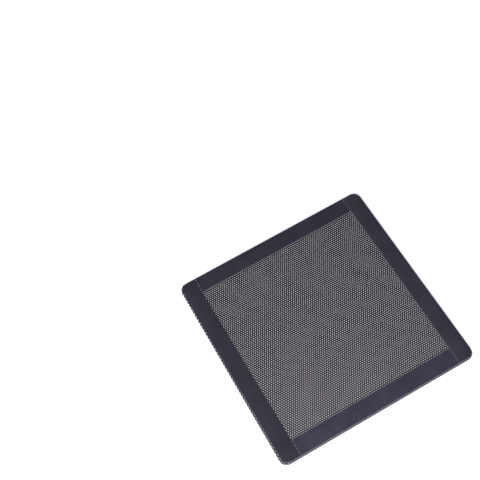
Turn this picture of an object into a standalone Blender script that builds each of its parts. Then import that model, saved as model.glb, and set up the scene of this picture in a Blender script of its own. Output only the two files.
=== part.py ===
"""Magnetic dust filter for a 120 mm computer fan.

A soft perforated sheet with four magnetic rubber strips bonded round its rim.
Units are metres, +Z is up, the origin is the middle of the sheet's underside.
X runs along the upper and lower strips, Y along the left and right strips.
"""

import math

import bmesh
import bpy

# Sheet
SHEET_WIDTH = 0.1200
SHEET_DEPTH = 0.1200
SHEET_THICKNESS = 0.00045
SHEET_CORNER_RADIUS = 0.0044

# Magnetic strips
STRIP_WIDTH = 0.0098
STRIP_THICKNESS = 0.0009
STRIP_CORNER_RADIUS = 0.0046
STRIP_EDGE_RADIUS = 0.00008
SEAM_GAP = 0.0003

# Rim of bare sheet left outside each strip; the left strip is laid slightly askew
RIM_LEFT_LOWER_END = 0.00115
RIM_LEFT_UPPER_END = 0.0005
RIM_RIGHT = 0.0002
RIM_LOWER = 0.0006
RIM_UPPER = 0.0005

# Adhesive film under each strip
TAPE_THICKNESS = 0.00015
TAPE_INSET = 0.0003

# Coarse perforation that stands in for the fine one
HOLE_DIAMETER = 0.0063
HOLE_PITCH = 0.0093
HOLE_MARGIN = 0.0015
HOLE_SIDES = 12
ROW_SPACING = HOLE_PITCH * math.sin(math.radians(60))

# Facets of a rounded corner
CORNER_STEPS = 8

# Heights of the layers
TAPE_BASE = SHEET_THICKNESS
STRIP_BASE = TAPE_BASE + TAPE_THICKNESS

# Outline of the strip frame and of the open window inside it
FRAME_LEFT = -SHEET_WIDTH / 2 + (RIM_LEFT_LOWER_END + RIM_LEFT_UPPER_END) / 2
FRAME_RIGHT = SHEET_WIDTH / 2 - RIM_RIGHT
FRAME_LOWER = -SHEET_DEPTH / 2 + RIM_LOWER
FRAME_UPPER = SHEET_DEPTH / 2 - RIM_UPPER
WINDOW_LEFT = FRAME_LEFT + STRIP_WIDTH
WINDOW_RIGHT = FRAME_RIGHT - STRIP_WIDTH
WINDOW_LOWER = FRAME_LOWER + STRIP_WIDTH
WINDOW_UPPER = FRAME_UPPER - STRIP_WIDTH

# Turn of the left strip, anticlockwise from above
LEFT_TURN = math.atan2(RIM_LEFT_LOWER_END - RIM_LEFT_UPPER_END, FRAME_UPPER - FRAME_LOWER)


def clear_scene():
    """Remove whatever the new file holds."""
    for item in list(bpy.data.objects):
        bpy.data.objects.remove(item, do_unlink=True)


def make_material(name, colour, roughness):
    """Return a plain non-metal material."""
    material = bpy.data.materials.new(name)
    material.use_nodes = True
    shader = material.node_tree.nodes["Principled BSDF"]
    shader.inputs["Base Color"].default_value = (*colour, 1.0)
    shader.inputs["Roughness"].default_value = roughness
    shader.inputs["Metallic"].default_value = 0.0
    return material


def rounded_outline(width, depth, radii):
    """Return the corner points of a centred rectangle, anticlockwise.

    The radii are given for the lower left, lower right, upper right and
    upper left corners; a radius of zero leaves the corner sharp.
    """
    corners = [(-1, -1, 180), (1, -1, 270), (1, 1, 0), (-1, 1, 90)]
    points = []
    for (side_x, side_y, start), radius in zip(corners, radii):
        centre_x = side_x * (width / 2 - radius)
        centre_y = side_y * (depth / 2 - radius)
        steps = CORNER_STEPS if radius > 0 else 0
        for step in range(steps + 1):
            angle = math.radians(start + 90 * step / max(steps, 1))
            points.append((centre_x + radius * math.cos(angle), centre_y + radius * math.sin(angle)))
    return points


def make_slab(name, outline, thickness, material, edge_radius=0.0):
    """Return a flat body with its base at z = 0 and an optional rounded top edge."""
    mesh = bpy.data.meshes.new(name)
    shape = bmesh.new()
    base = shape.faces.new([shape.verts.new((x, y, 0.0)) for x, y in outline])
    raised = bmesh.ops.extrude_face_region(shape, geom=[base])["geom"]
    top_points = [item for item in raised if isinstance(item, bmesh.types.BMVert)]
    bmesh.ops.translate(shape, verts=top_points, vec=(0.0, 0.0, thickness))
    bmesh.ops.recalc_face_normals(shape, faces=shape.faces)
    if edge_radius > 0:
        top = set(top_points)
        rim = [edge for edge in shape.edges if edge.verts[0] in top and edge.verts[1] in top]
        bmesh.ops.bevel(shape, geom=rim, offset=edge_radius, segments=1, affect="EDGES")
    shape.to_mesh(mesh)
    shape.free()
    mesh.materials.append(material)
    body = bpy.data.objects.new(name, mesh)
    bpy.context.collection.objects.link(body)
    return body


def hole_centres():
    """Return the centres of the stand-in holes, in staggered rows, centred in the window."""
    free_width = WINDOW_RIGHT - WINDOW_LEFT - 2 * HOLE_MARGIN - HOLE_DIAMETER
    free_depth = WINDOW_UPPER - WINDOW_LOWER - 2 * HOLE_MARGIN - HOLE_DIAMETER
    middle_x = (WINDOW_LEFT + WINDOW_RIGHT) / 2
    middle_y = (WINDOW_LOWER + WINDOW_UPPER) / 2
    columns = int(free_width / HOLE_PITCH) + 1
    rows = int(free_depth / ROW_SPACING) + 1
    centres = []
    for row in range(rows):
        count = columns - row % 2
        y = middle_y + (row - (rows - 1) / 2) * ROW_SPACING
        for column in range(count):
            centres.append((middle_x + (column - (count - 1) / 2) * HOLE_PITCH, y))
    return centres


def make_hole_cutter():
    """Return one object that holds a prism for each hole."""
    mesh = bpy.data.meshes.new("hole_cutter")
    shape = bmesh.new()
    for x, y in hole_centres():
        made = bmesh.ops.create_cone(
            shape,
            cap_ends=True,
            segments=HOLE_SIDES,
            radius1=HOLE_DIAMETER / 2,
            radius2=HOLE_DIAMETER / 2,
            depth=3 * SHEET_THICKNESS,
        )
        bmesh.ops.translate(shape, verts=made["verts"], vec=(x, y, SHEET_THICKNESS / 2))
    shape.to_mesh(mesh)
    shape.free()
    cutter = bpy.data.objects.new("hole_cutter", mesh)
    bpy.context.collection.objects.link(cutter)
    cutter.hide_render = True
    cutter.display_type = "WIRE"
    return cutter


def make_sheet(material, parent):
    """Make the perforated sheet, centred on the origin."""
    outline = rounded_outline(SHEET_WIDTH, SHEET_DEPTH, [SHEET_CORNER_RADIUS] * 4)
    sheet = make_slab("mesh_sheet", outline, SHEET_THICKNESS, material)
    sheet.parent = parent
    holes = sheet.modifiers.new("perforation", "BOOLEAN")
    holes.operation = "DIFFERENCE"
    holes.solver = "EXACT"
    holes.object = make_hole_cutter()
    return sheet


def make_layer(name, bounds, turn, inset, radii, thickness, base, material, parent, edge_radius=0.0):
    """Make one flat strip inside the given bounds, shrunk by the inset and turned round its middle."""
    left, right, lower, upper = bounds
    outline = rounded_outline(right - left - 2 * inset, upper - lower - 2 * inset, radii)
    body = make_slab(name, outline, thickness, material, edge_radius)
    body.location = ((left + right) / 2, (lower + upper) / 2, base)
    body.rotation_euler = (0.0, 0.0, turn)
    body.parent = parent
    return body


def left_seam(y):
    """Return where a strip that meets the left one starts, at a height y."""
    middle_y = (FRAME_LOWER + FRAME_UPPER) / 2
    middle_x = (FRAME_LEFT + WINDOW_LEFT) / 2
    inner_edge = middle_x + STRIP_WIDTH / 2 / math.cos(LEFT_TURN) - (y - middle_y) * math.tan(LEFT_TURN)
    return inner_edge + SEAM_GAP


def strip_plans():
    """Return each strip's left, right, lower and upper limits, its turn and its rounded corners."""
    right_seam = WINDOW_RIGHT - SEAM_GAP
    return {
        "left": ((FRAME_LEFT, WINDOW_LEFT, FRAME_LOWER, FRAME_UPPER), LEFT_TURN, (1, 0, 0, 1)),
        "right": ((WINDOW_RIGHT, FRAME_RIGHT, FRAME_LOWER, FRAME_UPPER), 0.0, (0, 1, 1, 0)),
        "upper": ((left_seam(WINDOW_UPPER), right_seam, WINDOW_UPPER, FRAME_UPPER), 0.0, (0, 0, 0, 0)),
        "lower": ((left_seam(FRAME_LOWER), right_seam, FRAME_LOWER, WINDOW_LOWER), 0.0, (0, 0, 0, 0)),
    }


def make_strips(rubber, adhesive, parent):
    """Make the four magnetic strips and the adhesive film under each."""
    for side, (bounds, turn, rounded) in strip_plans().items():
        strip_radii = [STRIP_CORNER_RADIUS * flag for flag in rounded]
        tape_radii = [(STRIP_CORNER_RADIUS - TAPE_INSET) * flag for flag in rounded]
        make_layer(
            "magnet_strip_" + side, bounds, turn, 0.0, strip_radii,
            STRIP_THICKNESS, STRIP_BASE, rubber, parent, STRIP_EDGE_RADIUS,
        )
        make_layer(
            "adhesive_film_" + side, bounds, turn, TAPE_INSET, tape_radii,
            TAPE_THICKNESS, TAPE_BASE, adhesive, parent,
        )


def main():
    """Build the whole filter."""
    clear_scene()
    root = bpy.data.objects.new("fan_dust_filter", None)
    bpy.context.collection.objects.link(root)
    mesh_plastic = make_material("perforated_pvc_black", (0.012, 0.012, 0.014), 0.45)
    magnet_rubber = make_material("magnetic_rubber_charcoal", (0.045, 0.041, 0.058), 0.62)
    adhesive = make_material("acrylic_adhesive_dark", (0.020, 0.020, 0.022), 0.35)
    make_sheet(mesh_plastic, root)
    make_strips(magnet_rubber, adhesive, root)


main()
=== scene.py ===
"""Looks of a magnetic dust filter for a 120 mm computer fan.

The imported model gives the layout. This script adds the fine perforated sheet
with its cut edge, the four magnetic rubber strips with their rounded edges,
their materials, the studio and the camera.
"""

from __future__ import annotations

import logging
import math
from collections.abc import Callable
from dataclasses import dataclass
from enum import Enum

import bpy
from mathutils import Matrix, Vector


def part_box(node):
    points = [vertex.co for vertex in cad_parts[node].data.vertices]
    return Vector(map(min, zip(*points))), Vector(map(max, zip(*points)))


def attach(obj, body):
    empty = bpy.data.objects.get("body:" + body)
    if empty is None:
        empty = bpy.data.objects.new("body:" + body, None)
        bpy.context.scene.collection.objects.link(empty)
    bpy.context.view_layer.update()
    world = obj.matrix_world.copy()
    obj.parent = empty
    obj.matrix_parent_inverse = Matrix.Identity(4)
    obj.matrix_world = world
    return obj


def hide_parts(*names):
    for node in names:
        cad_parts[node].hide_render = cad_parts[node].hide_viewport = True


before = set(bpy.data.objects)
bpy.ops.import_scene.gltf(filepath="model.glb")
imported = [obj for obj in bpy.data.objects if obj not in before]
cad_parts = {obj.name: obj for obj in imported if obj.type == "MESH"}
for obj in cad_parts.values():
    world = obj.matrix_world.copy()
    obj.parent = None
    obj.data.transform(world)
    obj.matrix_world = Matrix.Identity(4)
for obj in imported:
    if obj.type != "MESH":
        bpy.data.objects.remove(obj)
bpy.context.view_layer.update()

MM = 0.001
LOG = logging.getLogger("dust_filter")

# A face whose normal rises less than this is upright
UPRIGHT_LIMIT = 0.01

# How far a normal rises where a flank ends and where a broad face starts
FLANK_TO_FACE = (0.45, 0.85)

# The middle of a noise pattern's range, where most of its values lie
NOISE_MIDDLE = (0.3, 0.7)


class Side(Enum):
    """Where a strip lies on the sheet, seen from above."""

    LEFT = "left"
    RIGHT = "right"
    UPPER = "upper"
    LOWER = "lower"


class Layer(Enum):
    """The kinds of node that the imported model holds."""

    SHEET = "mesh_sheet"
    STRIP = "magnet_strip_"
    FILM = "adhesive_film_"


class Slot(Enum):
    """The record's material slots of the pieces that are modelled here."""

    VINYL = "perforated_pvc"
    RUBBER = "magnetic_rubber"


@dataclass(frozen=True)
class Extent:
    """A box in the row frame, in metres.

    Attributes:
        low: its lowest corner.
        high: its highest corner.
    """

    low: Vector
    high: Vector

    @classmethod
    def of_node(cls, name: str) -> Extent:
        """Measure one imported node.

        Args:
            name: the node's name.

        Returns:
            Its box.
        """
        low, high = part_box(name)
        return cls(Vector(low), Vector(high))

    @property
    def centre(self) -> Vector:
        """The middle of the box."""
        return (self.low + self.high) / 2

    @property
    def size(self) -> Vector:
        """The box's three lengths."""
        return self.high - self.low


@dataclass(frozen=True)
class StripPlan:
    """Where one packed strip lies, seen from above.

    Attributes:
        centre: the middle of its underside.
        width: its size across, along X before it is turned.
        depth: its size along Y before it is turned.
        height: its thickness.
        turn: how far it is turned anticlockwise, in radians.
    """

    centre: Vector
    width: float
    depth: float
    height: float
    turn: float

    @classmethod
    def of_node(cls, name: str) -> StripPlan:
        """Measure one packed strip along its own sides.

        Args:
            name: the node's name.

        Returns:
            Its plan.
        """
        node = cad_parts[name]
        points = [node.matrix_world @ point.co for point in node.data.vertices]
        upright = [face for face in node.data.polygons if abs(face.normal.z) < UPRIGHT_LIMIT]
        flank = max(upright, key=lambda face: face.area)
        outward = node.matrix_world.to_3x3() @ flank.normal
        angle = math.atan2(outward.y, outward.x)
        turn = angle - round(angle / (math.pi / 2)) * math.pi / 2
        straight = [Matrix.Rotation(-turn, 3, "Z") @ point for point in points]
        low = Vector([min(point[axis] for point in straight) for axis in range(3)])
        high = Vector([max(point[axis] for point in straight) for axis in range(3)])
        middle = (low + high) / 2
        middle.z = low.z
        return cls(Matrix.Rotation(turn, 3, "Z") @ middle, *(high - low), turn)


def linear(hex_colour: str) -> tuple[float, float, float, float]:
    """Turn an sRGB hex colour into the linear values that shaders use.

    Args:
        hex_colour: six hex digits, such as "3a3844".

    Returns:
        Linear red, green, blue and an alpha of 1.
    """
    channels = []
    for start in (0, 2, 4):
        value = int(hex_colour[start:start + 2], 16) / 255
        channels.append(value / 12.92 if value <= 0.04045 else ((value + 0.055) / 1.055) ** 2.4)
    return (*channels, 1.0)


def pattern_scale(feature_mm: float) -> float:
    """Give the texture scale whose features have a real size.

    Args:
        feature_mm: the size of one feature in millimetres.

    Returns:
        The scale for Object coordinates, which are in metres.
    """
    return 1 / (feature_mm * MM)


def add_node(
    tree: bpy.types.NodeTree,
    kind: str,
    settings: dict[str | int, object] | None = None,
    links: dict[str | int, bpy.types.NodeSocket] | None = None,
) -> bpy.types.Node:
    """Add one shader node.

    Args:
        tree: the material's node tree.
        kind: the node's type name.
        settings: values for its inputs, by name or number, or for its own properties.
        links: the sockets that feed its inputs.

    Returns:
        The new node.
    """
    node = tree.nodes.new(kind)
    for key, value in (settings or {}).items():
        if isinstance(key, str) and key not in node.inputs:
            setattr(node, key, value)
        else:
            node.inputs[key].default_value = value
    for key, socket in (links or {}).items():
        tree.links.new(socket, node.inputs[key])
    return node


def add_noise(
    tree: bpy.types.NodeTree,
    place: bpy.types.NodeSocket,
    feature_mm: float,
    detail: float,
) -> bpy.types.NodeSocket:
    """Add a noise pattern of a real size.

    Args:
        tree: the material's node tree.
        place: the coordinates it is read at.
        feature_mm: the size of one feature in millimetres.
        detail: how many finer levels it has.

    Returns:
        The pattern's value, about 0.5 on average.
    """
    settings = {"Scale": pattern_scale(feature_mm), "Detail": detail, "Roughness": 0.6}
    return add_node(tree, "ShaderNodeTexNoise", settings, {"Vector": place}).outputs["Fac"]


def add_range(
    tree: bpy.types.NodeTree,
    value: bpy.types.NodeSocket,
    source: tuple[float, float],
    target: tuple[float, float],
) -> bpy.types.NodeSocket:
    """Map one range of a value onto another.

    Args:
        tree: the material's node tree.
        value: the value that is mapped.
        source: the range it is read from.
        target: the range it is given.

    Returns:
        The mapped value.
    """
    settings = {"From Min": source[0], "From Max": source[1], "To Min": target[0], "To Max": target[1]}
    return add_node(tree, "ShaderNodeMapRange", settings, {"Value": value}).outputs["Result"]


def add_weighted(
    tree: bpy.types.NodeTree,
    base: bpy.types.NodeSocket,
    value: bpy.types.NodeSocket,
    weight: float,
) -> bpy.types.NodeSocket:
    """Add a share of one value to another.

    Args:
        tree: the material's node tree.
        base: the value that counts in full.
        value: the value that counts in part.
        weight: how much of it counts.

    Returns:
        The sum.
    """
    settings = {"operation": "MULTIPLY_ADD", 1: weight}
    return add_node(tree, "ShaderNodeMath", settings, {0: value, 2: base}).outputs["Value"]


def add_mix(
    tree: bpy.types.NodeTree,
    factor: bpy.types.NodeSocket,
    first: object,
    second: object,
) -> bpy.types.NodeSocket:
    """Blend two colours.

    Args:
        tree: the material's node tree.
        factor: 0 for the first colour, 1 for the second.
        first: a colour or a socket.
        second: a colour or a socket.

    Returns:
        The blended colour.
    """
    node = add_node(tree, "ShaderNodeMix", {"data_type": "RGBA"})
    tree.links.new(factor, node.inputs[0])
    for index, value in ((6, first), (7, second)):
        if isinstance(value, bpy.types.NodeSocket):
            tree.links.new(value, node.inputs[index])
        else:
            node.inputs[index].default_value = value
    return node.outputs[2]


def add_upward(tree: bpy.types.NodeTree) -> bpy.types.NodeSocket:
    """Tell broad flat faces from cut flanks.

    Args:
        tree: the material's node tree.

    Returns:
        1 on faces that look up or down, 0 on upright ones.
    """
    geometry = add_node(tree, "ShaderNodeNewGeometry")
    parts = add_node(tree, "ShaderNodeSeparateXYZ", links={"Vector": geometry.outputs["True Normal"]})
    rise = add_node(tree, "ShaderNodeMath", {"operation": "ABSOLUTE"}, {0: parts.outputs["Z"]})
    return add_range(tree, rise.outputs["Value"], FLANK_TO_FACE, (0.0, 1.0))


def add_bump(
    tree: bpy.types.NodeTree,
    shader: bpy.types.ShaderNode,
    relief: bpy.types.NodeSocket,
    depth_mm: float,
    strength: float,
) -> None:
    """Give a shader a fine relief.

    Args:
        tree: the material's node tree.
        shader: the Principled shader.
        relief: the relief's height, from 0 to 1.
        depth_mm: the height of a full step in millimetres.
        strength: how strongly it shows.
    """
    settings = {"Strength": strength, "Distance": depth_mm * MM}
    bump = add_node(tree, "ShaderNodeBump", settings, {"Height": relief})
    tree.links.new(bump.outputs["Normal"], shader.inputs["Normal"])


@dataclass(frozen=True)
class Finish:
    """What all the finishes share.

    Attributes:
        name: the material's name.
        colour: the surface's main sRGB colour.
    """

    name: str
    colour: str

    def start(self) -> tuple[bpy.types.Material, bpy.types.NodeTree, bpy.types.ShaderNode]:
        """Make the empty material.

        Returns:
            The material, its node tree and its Principled shader.
        """
        material = bpy.data.materials.new(self.name)
        material.use_nodes = True
        tree = material.node_tree
        return material, tree, tree.nodes["Principled BSDF"]


@dataclass(frozen=True)
class MagneticRubber(Finish):
    """Ferrite-filled rubber, rolled to a sheet and slit into strips.

    The rolled face is matt charcoal with a purple cast, fine grain and faint streaks
    along the roll. The slit flanks and, in part, the rounded top edges are painted lighter: a painted
    highlight.

    Attributes:
        worn: the lighter sRGB colour that the face clouds towards.
        flank: the lighter sRGB colour of the slit flanks and, in part, the rounded top edges: a painted
            highlight.
        along_y: whether the strip, and so its streaks, run along Y.
        cloud_mm: size of the clouds in its tone.
        grain_mm: size of its grain.
        streak_mm: size of its streaks, across and along the roll.
        streak_weight: how much the streaks add to the clouds.
        tone_range: the values of both together that give the main and the lighter colour.
        speckle_range: the values of the grain where a lighter speckle starts and is full.
        speckle_share: how far a full speckle goes towards the lighter colour.
        roughness: its lowest and highest roughness.
        specular: strength of its sheen.
        relief_weight: how much the streaks add to the grain in its relief.
        bump_mm: height of its relief.
        bump_strength: how strongly its relief shows.
    """

    worn: str
    flank: str
    along_y: bool

    cloud_mm: float = 14.0
    grain_mm: float = 0.22
    streak_mm: tuple[float, float] = (0.5, 40.0)
    streak_weight: float = 0.45
    tone_range: tuple[float, float] = (0.50, 0.95)
    speckle_range: tuple[float, float] = (0.60, 0.78)
    speckle_share: float = 0.35
    roughness: tuple[float, float] = (0.50, 0.66)
    specular: float = 0.22
    relief_weight: float = 0.6
    bump_mm: float = 0.012
    bump_strength: float = 0.35

    def material(self) -> bpy.types.Material:
        """Build the material.

        Returns:
            The finished material.
        """
        material, tree, shader = self.start()
        place = add_node(tree, "ShaderNodeTexCoord").outputs["Object"]
        across, along = (pattern_scale(size) for size in self.streak_mm)
        stretch = (across, along, across) if self.along_y else (along, across, across)
        stretched = add_node(tree, "ShaderNodeMapping", {"Scale": stretch}, {"Vector": place})
        noise = {"Scale": 1.0, "Detail": 3.0}
        read_at = {"Vector": stretched.outputs["Vector"]}
        streaks = add_node(tree, "ShaderNodeTexNoise", noise, read_at).outputs["Fac"]
        clouds = add_noise(tree, place, self.cloud_mm, 3.0)
        grain = add_noise(tree, place, self.grain_mm, 2.0)

        mottled = add_weighted(tree, clouds, streaks, self.streak_weight)
        tone = add_range(tree, mottled, self.tone_range, (0.0, 1.0))
        face = add_mix(tree, tone, linear(self.colour), linear(self.worn))
        speckles = add_range(tree, grain, self.speckle_range, (0.0, self.speckle_share))
        speckled = add_mix(tree, speckles, face, linear(self.worn))
        # The flanks, and in part the rounded top edges, take the lighter flank colour: a painted
        # highlight.
        skin = add_mix(tree, add_upward(tree), linear(self.flank), speckled)
        tree.links.new(skin, shader.inputs["Base Color"])

        tree.links.new(add_range(tree, clouds, NOISE_MIDDLE, self.roughness), shader.inputs["Roughness"])
        shader.inputs["Specular IOR Level"].default_value = self.specular

        relief = add_weighted(tree, grain, streaks, self.relief_weight)
        add_bump(tree, shader, relief, self.bump_mm, self.bump_strength)
        return material


@dataclass(frozen=True)
class PunchedVinyl(Finish):
    """Soft black vinyl sheet, calendered and then punched.

    The face has a low sheen and a fine leathery grain. The punched walls are a little greyer
    where the punch stretched them.

    Attributes:
        wall: the sRGB colour of the punched walls.
        cloud_mm: size of the greyer clouds on its face.
        grain_mm: size of its grain.
        cloud_range: the values of the clouds where greying starts and is full.
        grey_share: how far full greying goes towards the walls' colour.
        roughness: its lowest and highest roughness.
        specular: strength of its sheen.
        bump_mm: height of its relief.
        bump_strength: how strongly its relief shows.
    """

    wall: str

    cloud_mm: float = 9.0
    grain_mm: float = 0.16
    cloud_range: tuple[float, float] = (0.35, 0.70)
    grey_share: float = 0.5
    roughness: tuple[float, float] = (0.34, 0.52)
    specular: float = 0.12
    bump_mm: float = 0.010
    bump_strength: float = 0.3

    def material(self) -> bpy.types.Material:
        """Build the material.

        Returns:
            The finished material.
        """
        material, tree, shader = self.start()
        place = add_node(tree, "ShaderNodeTexCoord").outputs["Object"]
        clouds = add_noise(tree, place, self.cloud_mm, 2.0)
        grain = add_noise(tree, place, self.grain_mm, 2.0)
        greyness = add_range(tree, clouds, self.cloud_range, (0.0, self.grey_share))
        face = add_mix(tree, greyness, linear(self.colour), linear(self.wall))
        skin = add_mix(tree, add_upward(tree), linear(self.wall), face)
        tree.links.new(skin, shader.inputs["Base Color"])
        tree.links.new(add_range(tree, grain, NOISE_MIDDLE, self.roughness), shader.inputs["Roughness"])
        shader.inputs["Specular IOR Level"].default_value = self.specular
        add_bump(tree, shader, grain, self.bump_mm, self.bump_strength)
        return material


@dataclass(frozen=True)
class AcrylicFilm(Finish):
    """Thin black acrylic adhesive, rolled on and pressed.

    Only its edge shows, as a dark line under a strip, with small squeezed-out ripples.

    Attributes:
        ripple_mm: size of its ripples.
        roughness: its lowest and highest roughness.
        bump_mm: height of its ripples.
        bump_strength: how strongly they show.
    """

    ripple_mm: float = 0.5
    roughness: tuple[float, float] = (0.22, 0.45)
    bump_mm: float = 0.02
    bump_strength: float = 0.3

    def material(self) -> bpy.types.Material:
        """Build the material.

        Returns:
            The finished material.
        """
        material, tree, shader = self.start()
        place = add_node(tree, "ShaderNodeTexCoord").outputs["Object"]
        ripple = add_noise(tree, place, self.ripple_mm, 2.0)
        shader.inputs["Base Color"].default_value = linear(self.colour)
        tree.links.new(add_range(tree, ripple, NOISE_MIDDLE, self.roughness), shader.inputs["Roughness"])
        add_bump(tree, shader, ripple, self.bump_mm, self.bump_strength)
        return material


@dataclass(frozen=True)
class StudioPaper(Finish):
    """Seamless white paper.

    It is lit like any matt white sheet, and the camera alone sees it lifted to clean white,
    so it still takes the object's shadow.

    Attributes:
        glow: the sRGB colour of the light that lifts it, a little cool as in the photo.
        lift: how much of that light the camera sees on top of the paper's own,
            round the object and far off, where the lamps no longer reach.
        fade: the distances from the object's middle where the lift starts and stops rising.
        roughness: the paper's roughness.
    """

    glow: str
    lift: tuple[float, float]
    fade: tuple[float, float] = (0.10, 0.35)
    roughness: float = 0.9

    def material(self) -> bpy.types.Material:
        """Build the material.

        Returns:
            The finished material.
        """
        material, tree, shader = self.start()
        shader.inputs["Base Color"].default_value = linear(self.colour)
        shader.inputs["Roughness"].default_value = self.roughness
        shader.inputs["Specular IOR Level"].default_value = 0.0
        place = add_node(tree, "ShaderNodeTexCoord").outputs["Object"]
        distance = add_node(tree, "ShaderNodeVectorMath", {"operation": "LENGTH"}, {0: place})
        lift = add_range(tree, distance.outputs["Value"], self.fade, self.lift)
        seen = add_node(tree, "ShaderNodeLightPath").outputs["Is Camera Ray"]
        lifted = add_node(tree, "ShaderNodeMath", {"operation": "MULTIPLY"}, {0: seen, 1: lift})
        shader.inputs["Emission Color"].default_value = linear(self.glow)
        tree.links.new(lifted.outputs["Value"], shader.inputs["Emission Strength"])
        return material


def deselect_all() -> None:
    """Leave edit mode and clear the selection."""
    if bpy.context.object and bpy.context.object.mode != "OBJECT":
        bpy.ops.object.mode_set(mode="OBJECT")
    bpy.ops.object.select_all(action="DESELECT")


def make_active(piece: bpy.types.Object) -> None:
    """Select one object alone.

    Args:
        piece: the object.
    """
    deselect_all()
    piece.select_set(True)
    bpy.context.view_layer.objects.active = piece


def apply_place(piece: bpy.types.Object) -> None:
    """Move a piece's place into its mesh, so that the object sits at the origin.

    Args:
        piece: the object.
    """
    make_active(piece)
    bpy.ops.object.transform_apply(location=True, rotation=True, scale=True)


def apply_modifier(piece: bpy.types.Object, kind: str, **settings: object) -> None:
    """Add one modifier and apply it.

    Args:
        piece: the object.
        kind: the modifier's type name.
        **settings: the modifier's values.
    """
    make_active(piece)
    modifier = piece.modifiers.new(kind.lower(), kind)
    for name, value in settings.items():
        setattr(modifier, name, value)
    bpy.ops.object.modifier_apply(modifier=modifier.name)


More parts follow.
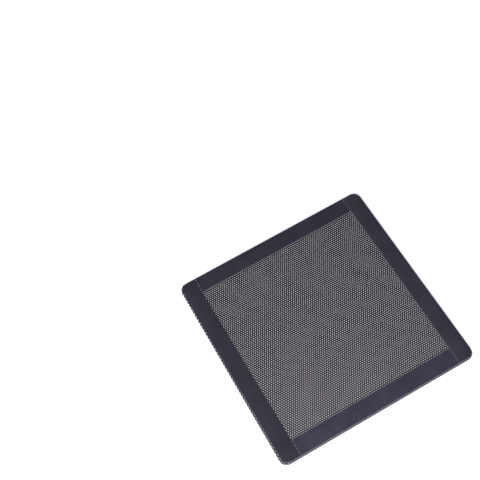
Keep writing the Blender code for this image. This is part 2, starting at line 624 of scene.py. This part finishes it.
@dataclass
class PerforatedSheet:
    """The vinyl sheet with its real perforation, cut out straight through the holes.

    Attributes:
        extent: the sheet's box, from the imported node.
        finish: the sheet's finish.
        pitch: distance between holes in a row.
        hole_diameter: width of one hole.
        hole_steps: corners of one hole.
        corner_radius: radius of the sheet's outer corners.
        corner_cuts: straight cuts that make up one rounded corner.
        first_hole: a hole's place, which sets where the pattern falls.
        patches: how many patches the sheet is made in along X and along Y.
        ring_share: width of the ring left round a hole at first, as a share of the pitch.
        hole_reach: how far from a cell's middle its hole's points lie at most, as a share of the pitch.
        merge_share: how near to each other two cells' points are merged, as a share of the pitch.
        smooth_deg: faces that meet at less than this angle are shaded as one.
    """

    extent: Extent
    finish: PunchedVinyl
    pitch: float = 1.30 * MM
    hole_diameter: float = 0.74 * MM
    hole_steps: int = 12
    corner_radius: float = 4.4 * MM
    corner_cuts: int = 8
    first_hole: tuple[float, float] = (-49.3 * MM, -49.2 * MM)
    patches: tuple[int, int] = (2, 2)
    ring_share: float = 0.125
    hole_reach: float = 0.47
    merge_share: float = 0.005
    smooth_deg: float = 40.0

    @property
    def row_spacing(self) -> float:
        """Distance between two rows of holes."""
        return self.pitch * math.sin(math.radians(60))

    def make_cell(self) -> bpy.types.Object:
        """Model one hexagonal cell with its hole, flat, and a second one in the next row.

        Returns:
            The pair of cells, round the origin.
        """
        deselect_all()
        bpy.ops.mesh.primitive_circle_add(vertices=6, radius=self.pitch / math.sqrt(3), fill_type="NGON")
        cell = bpy.context.object
        bpy.ops.object.mode_set(mode="EDIT")
        bpy.ops.mesh.subdivide(number_cuts=self.hole_steps // 6 - 1)
        bpy.ops.mesh.select_mode(type="FACE")
        bpy.ops.mesh.select_all(action="SELECT")
        bpy.ops.mesh.inset(thickness=self.pitch * self.ring_share)
        bpy.ops.transform.tosphere(value=1.0)
        bpy.ops.mesh.delete(type="FACE")
        bpy.ops.object.mode_set(mode="OBJECT")
        self.round_hole(cell)
        bpy.ops.object.mode_set(mode="EDIT")
        bpy.ops.mesh.select_all(action="SELECT")
        bpy.ops.mesh.duplicate()
        bpy.ops.transform.translate(value=(self.pitch / 2, self.row_spacing, 0.0))
        bpy.ops.object.mode_set(mode="OBJECT")
        return cell

    def round_hole(self, cell: bpy.types.Object) -> None:
        """Scale the hole's edge to its real size.

        Args:
            cell: the cell, whose inner ring of points is the hole's edge.
        """
        reach = self.pitch * self.hole_reach
        inner = [point for point in cell.data.vertices if point.co.length < reach]
        for point in inner:
            point.co = point.co.normalized() * self.hole_diameter / 2

    def outline(self) -> list[Vector]:
        """Work out the sheet's outline.

        Returns:
            Its corner points, anticlockwise.
        """
        half = self.extent.size / 2
        centre = self.extent.centre
        points = []
        for quarter, (side_x, side_y) in enumerate(((1, 1), (-1, 1), (-1, -1), (1, -1))):
            middle_x = centre.x + side_x * (half.x - self.corner_radius)
            middle_y = centre.y + side_y * (half.y - self.corner_radius)
            for step in range(self.corner_cuts + 1):
                angle = math.radians(90 * (quarter + step / self.corner_cuts))
                offset = Vector((math.cos(angle), math.sin(angle))) * self.corner_radius
                points.append(Vector((middle_x + offset.x, middle_y + offset.y, 0.0)))
        return points

    def trim(self, patch: bpy.types.Object) -> None:
        """Cut a patch along the sheet's outline.

        Args:
            patch: the flat patch.
        """
        corners = self.outline()
        low, high = Vector(patch.bound_box[0]), Vector(patch.bound_box[6])
        for start, end in zip(corners, corners[1:] + corners[:1]):
            along = (end - start).normalized()
            outward = Vector((along.y, -along.x, 0.0))
            reach = max(
                (Vector((x, y, 0.0)) - start).dot(outward)
                for x in (low.x, high.x) for y in (low.y, high.y)
            )
            if reach <= 0:
                continue
            bpy.ops.mesh.select_all(action="SELECT")
            bpy.ops.mesh.bisect(plane_co=start, plane_no=outward, clear_outer=True, threshold=1e-7)

    def make_patch(self, name: str, columns: range, pairs: range) -> bpy.types.Object:
        """Model one patch of the sheet.

        Args:
            name: the patch's name.
            columns: the holes it has along a row.
            pairs: the pairs of rows it has.

        Returns:
            The closed patch, trimmed to the sheet's outline.
        """
        patch = self.make_cell()
        patch.name = name
        step_y = 2 * self.row_spacing
        for count, offset in ((len(columns), (self.pitch, 0, 0)), (len(pairs), (0, step_y, 0))):
            apply_modifier(
                patch, "ARRAY", count=count, use_relative_offset=False, use_constant_offset=True,
                constant_offset_displace=offset,
            )
        start_x = self.first_hole[0] + columns.start * self.pitch
        start_y = self.first_hole[1] + pairs.start * step_y
        patch.location = (start_x, start_y, self.extent.low.z)
        apply_place(patch)
        bpy.ops.object.mode_set(mode="EDIT")
        bpy.ops.mesh.select_all(action="SELECT")
        bpy.ops.mesh.remove_doubles(threshold=self.pitch * self.merge_share)
        self.trim(patch)
        bpy.ops.mesh.select_all(action="SELECT")
        bpy.ops.mesh.normals_make_consistent(inside=False)
        bpy.ops.object.mode_set(mode="OBJECT")
        if patch.data.polygons[0].normal.z < 0:
            patch.data.flip_normals()
        apply_modifier(patch, "SOLIDIFY", thickness=self.extent.size.z, offset=1.0, use_even_offset=False)
        bpy.ops.object.shade_smooth_by_angle(angle=math.radians(self.smooth_deg))
        return patch

    def spans(self, low: float, high: float, first: float, step: float, count: int) -> list[range]:
        """Share the pattern's steps between patches.

        Args:
            low: where the sheet starts.
            high: where it ends.
            first: the place of step 0.
            step: the distance of one step.
            count: how many patches share them.

        Returns:
            One range of steps for each patch.
        """
        start = math.floor((low - first) / step) - 1
        end = math.ceil((high - first) / step) + 1
        cuts = [round(start + (end - start) * index / count) for index in range(count + 1)]
        return [range(a, b) for a, b in zip(cuts, cuts[1:])]

    def build(self) -> list[bpy.types.Object]:
        """Model the whole sheet.

        Returns:
            Its patches.
        """
        low, high = self.extent.low, self.extent.high
        columns = self.spans(low.x, high.x, self.first_hole[0], self.pitch, self.patches[0])
        pairs = self.spans(low.y, high.y, self.first_hole[1], 2 * self.row_spacing, self.patches[1])
        made = []
        for row, pair_range in enumerate(pairs):
            for column, column_range in enumerate(columns):
                made.append(self.make_patch(f"perforated_sheet_{row}{column}", column_range, pair_range))
        return made

    def dress(self, patches: list[bpy.types.Object]) -> None:
        """Give the patches their material and their place in the model.

        Args:
            patches: the sheet's patches.
        """
        material = self.finish.material()
        for patch in patches:
            patch.data.materials.clear()
            patch.data.materials.append(material)
            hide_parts(Layer.SHEET.value)
            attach(patch, "root")
            LOG.info("%s: %d faces", patch.name, len(patch.data.polygons))


@dataclass
class MagnetStrip:
    """One magnetic rubber strip.

    Attributes:
        side: where it lies.
        plan: its place and sizes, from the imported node.
        finish: its finish.
        corner_radius: radius of the two outer corners of a full-length strip.
        edge_radius: radius of the top edge.
        corner_steps: facets of a rounded corner.
        edge_steps: facets of the rounded top edge.
        smooth_deg: faces that meet at less than this angle are shaded as one.
    """

    side: Side
    plan: StripPlan
    finish: MagneticRubber
    corner_radius: float = 4.6 * MM
    edge_radius: float = 0.18 * MM
    corner_steps: int = 16
    edge_steps: int = 4
    smooth_deg: float = 50.0

    @property
    def outward_x(self) -> int:
        """Which way the rounded corners look: -1 left, 1 right, 0 for a plain strip."""
        return {Side.LEFT: -1, Side.RIGHT: 1}.get(self.side, 0)

    def build(self) -> bpy.types.Object:
        """Model the strip from a flat plane.

        Returns:
            The closed strip.
        """
        plan = self.plan
        deselect_all()
        bpy.ops.mesh.primitive_plane_add(size=1.0)
        strip = bpy.context.object
        strip.name = f"rubber_strip_{self.side.value}"
        strip.scale = (plan.width, plan.depth, 1.0)
        apply_place(strip)
        if self.outward_x:
            self.select_points(strip, lambda place: place.x * self.outward_x > 0)
            bpy.ops.mesh.bevel(offset=self.corner_radius, segments=self.corner_steps, affect="VERTICES")
        else:
            bpy.ops.object.mode_set(mode="EDIT")
        bpy.ops.mesh.select_all(action="SELECT")
        bpy.ops.mesh.extrude_region_move(TRANSFORM_OT_translate={"value": (0.0, 0.0, plan.height)})
        bpy.ops.mesh.select_all(action="SELECT")
        bpy.ops.mesh.normals_make_consistent(inside=False)
        self.select_points(strip, lambda place: place.z > plan.height / 2)
        bpy.ops.mesh.bevel(offset=self.edge_radius, segments=self.edge_steps, affect="EDGES")
        bpy.ops.object.mode_set(mode="OBJECT")
        bpy.ops.object.shade_smooth_by_angle(angle=math.radians(self.smooth_deg))
        strip.location = plan.centre
        strip.rotation_euler = (0.0, 0.0, plan.turn)
        apply_place(strip)
        return strip

    def select_points(self, strip: bpy.types.Object, wanted: Callable[[Vector], bool]) -> None:
        """Select points by their place, and what lies between them, in edit mode.

        Args:
            strip: the strip.
            wanted: a function that takes a point's place and says whether to select it.
        """
        make_active(strip)
        bpy.ops.object.mode_set(mode="EDIT")
        bpy.ops.mesh.select_mode(type="VERT")
        bpy.ops.mesh.select_all(action="DESELECT")
        bpy.ops.object.mode_set(mode="OBJECT")
        for point in strip.data.vertices:
            point.select = bool(wanted(point.co))
        bpy.ops.object.mode_set(mode="EDIT")

    def dress(self, strip: bpy.types.Object) -> None:
        """Give the strip its material and its place in the model.

        Args:
            strip: the strip.
        """
        strip.data.materials.clear()
        strip.data.materials.append(self.finish.material())
        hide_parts(Layer.STRIP.value + self.side.value)
        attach(strip, "root")
        LOG.info("%s: %d faces", strip.name, len(strip.data.polygons))


@dataclass
class AdhesiveFilms:
    """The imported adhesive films, which keep their own meshes.

    Attributes:
        finish: their finish.
    """

    finish: AcrylicFilm

    def dress(self) -> None:
        """Give each film its material."""
        material = self.finish.material()
        for side in Side:
            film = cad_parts[Layer.FILM.value + side.value]
            film.data.materials.clear()
            film.data.materials.append(material)
            LOG.info("%s: carried over", film.name)


@dataclass(frozen=True)
class SoftLamp:
    """A square soft box that looks at the object.

    Attributes:
        name: its name.
        place: where it hangs, in metres.
        size: its side, in metres.
        power: its power, in watts.
    """

    name: str
    place: tuple[float, float, float]
    size: float
    power: float

    def build(self) -> bpy.types.Object:
        """Hang the lamp.

        Returns:
            The lamp.
        """
        data = bpy.data.lights.new(self.name, "AREA")
        data.shape = "SQUARE"
        data.size = self.size
        data.energy = self.power
        lamp = bpy.data.objects.new(self.name, data)
        bpy.context.collection.objects.link(lamp)
        lamp.location = self.place
        lamp.rotation_euler = (-Vector(self.place)).to_track_quat("-Z", "Y").to_euler()
        return lamp


@dataclass
class Studio:
    """The white floor and the lights.

    Attributes:
        paper: the floor's finish.
        lamps: the soft lamps.
        floor_size: side of the floor.
        floor_drop: how far the floor lies below the sheet.
        sky: strength of the even light from all round.
        seen_sky: strength at which the camera alone sees it, as plain white.
    """

    paper: StudioPaper
    lamps: tuple[SoftLamp, ...]
    floor_size: float = 6.0
    floor_drop: float = 0.00002
    sky: float = 0.45
    seen_sky: float = 1.0

    def build(self) -> None:
        """Make the floor, the sky and the lamps."""
        deselect_all()
        bpy.ops.mesh.primitive_plane_add(size=self.floor_size, location=(0.0, 0.0, -self.floor_drop))
        floor = bpy.context.object
        floor.name = "studio_floor"
        floor.data.materials.append(self.paper.material())

        world = bpy.data.worlds.new("studio_sky")
        world.use_nodes = True
        bpy.context.scene.world = world
        sky = world.node_tree.nodes["Background"]
        sky.inputs["Color"].default_value = (1.0, 1.0, 1.0, 1.0)
        seen = add_node(world.node_tree, "ShaderNodeLightPath").outputs["Is Camera Ray"]
        strength = add_range(world.node_tree, seen, (0.0, 1.0), (self.sky, self.seen_sky))
        world.node_tree.links.new(strength, sky.inputs["Strength"])
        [lamp.build() for lamp in self.lamps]


@dataclass
class PhotoCamera:
    """The photograph's camera, found from the straight edges in it.

    Attributes:
        top: height of the strips' top faces, which the places below are measured from.
        place: the camera's place.
        target: the point of that plane in the middle of the picture.
        roll_deg: how far the camera is turned round its own line of sight.
        lens_mm: focal length.
        sensor_mm: width of the sensor.
        near_clip: nearest distance that it sees, in metres.
    """

    top: float
    place: tuple[float, float, float] = (-93.4 * MM, -169.1 * MM, 483.3 * MM)
    target: tuple[float, float, float] = (-15.0 * MM, 67.65 * MM, 0.0)
    roll_deg: float = -11.98
    lens_mm: float = 69.6
    sensor_mm: float = 36.0
    near_clip: float = 0.01

    def build(self) -> None:
        """Make the camera and give it to the scene."""
        data = bpy.data.cameras.new("photo_camera")
        data.lens = self.lens_mm
        data.sensor_width = self.sensor_mm
        data.clip_start = self.near_clip
        camera = bpy.data.objects.new("photo_camera", data)
        bpy.context.collection.objects.link(camera)
        line = Vector(self.target) - Vector(self.place)
        facing = line.to_track_quat("-Z", "Y").to_matrix().to_4x4()
        roll = Matrix.Rotation(math.radians(self.roll_deg), 4, "Z")
        lift = Matrix.Translation(Vector(self.place) + Vector((0.0, 0.0, self.top)))
        camera.matrix_world = lift @ facing @ roll
        bpy.context.scene.camera = camera


@dataclass
class RenderLook:
    """How the picture's values are shown."""

    def apply(self) -> None:
        """Show colours as they are written."""
        bpy.context.scene.view_settings.view_transform = "Standard"


def main() -> None:
    """Build the whole picture in order."""
    logging.basicConfig(level=logging.INFO, format="%(name)s: %(message)s")

    sheet = PerforatedSheet(
        extent=Extent.of_node(Layer.SHEET.value),
        finish=PunchedVinyl("punched_vinyl", "08070a", wall="0d0c10"),
    )
    sheet.dress(sheet.build())

    # Each strip gets its own pair of tones, lightest on the lower strip and darkest on the upper: painted
    # light and shade for how the lamps fall along the filter, on one and the same rubber.
    painted_light_tones = {
        Side.LEFT: ("292631", "33303d"),
        Side.RIGHT: ("2b2834", "35323f"),
        Side.UPPER: ("282532", "312e3c"),
        Side.LOWER: ("312e3c", "3c394a"),
    }
    for side, (dark, light) in painted_light_tones.items():
        strip = MagnetStrip(
            side=side,
            plan=StripPlan.of_node(Layer.STRIP.value + side.value),
            finish=MagneticRubber(
                # The flank colour is a painted highlight on the slit flanks and rounded top edges.
                f"magnetic_rubber_{side.value}", dark, worn=light, flank="767380",
                along_y=side in (Side.LEFT, Side.RIGHT),
            ),
        )
        strip.dress(strip.build())

    AdhesiveFilms(finish=AcrylicFilm("acrylic_film", "101013")).dress()

    near_lamp = SoftLamp("near_lamp", (-0.20, -0.42, 0.42), size=0.35, power=2.9)
    side_lamp = SoftLamp("side_lamp", (-0.60, 0.10, 0.22), size=0.30, power=1.6)
    paper = StudioPaper("white_paper", "f1f1f6", glow="f3eefb", lift=(0.42, 0.80))
    Studio(paper=paper, lamps=(near_lamp, side_lamp)).build()
    PhotoCamera(top=Extent.of_node(Layer.STRIP.value + Side.LEFT.value).high.z).build()
    RenderLook().apply()


if __name__ == "__main__":
    main()
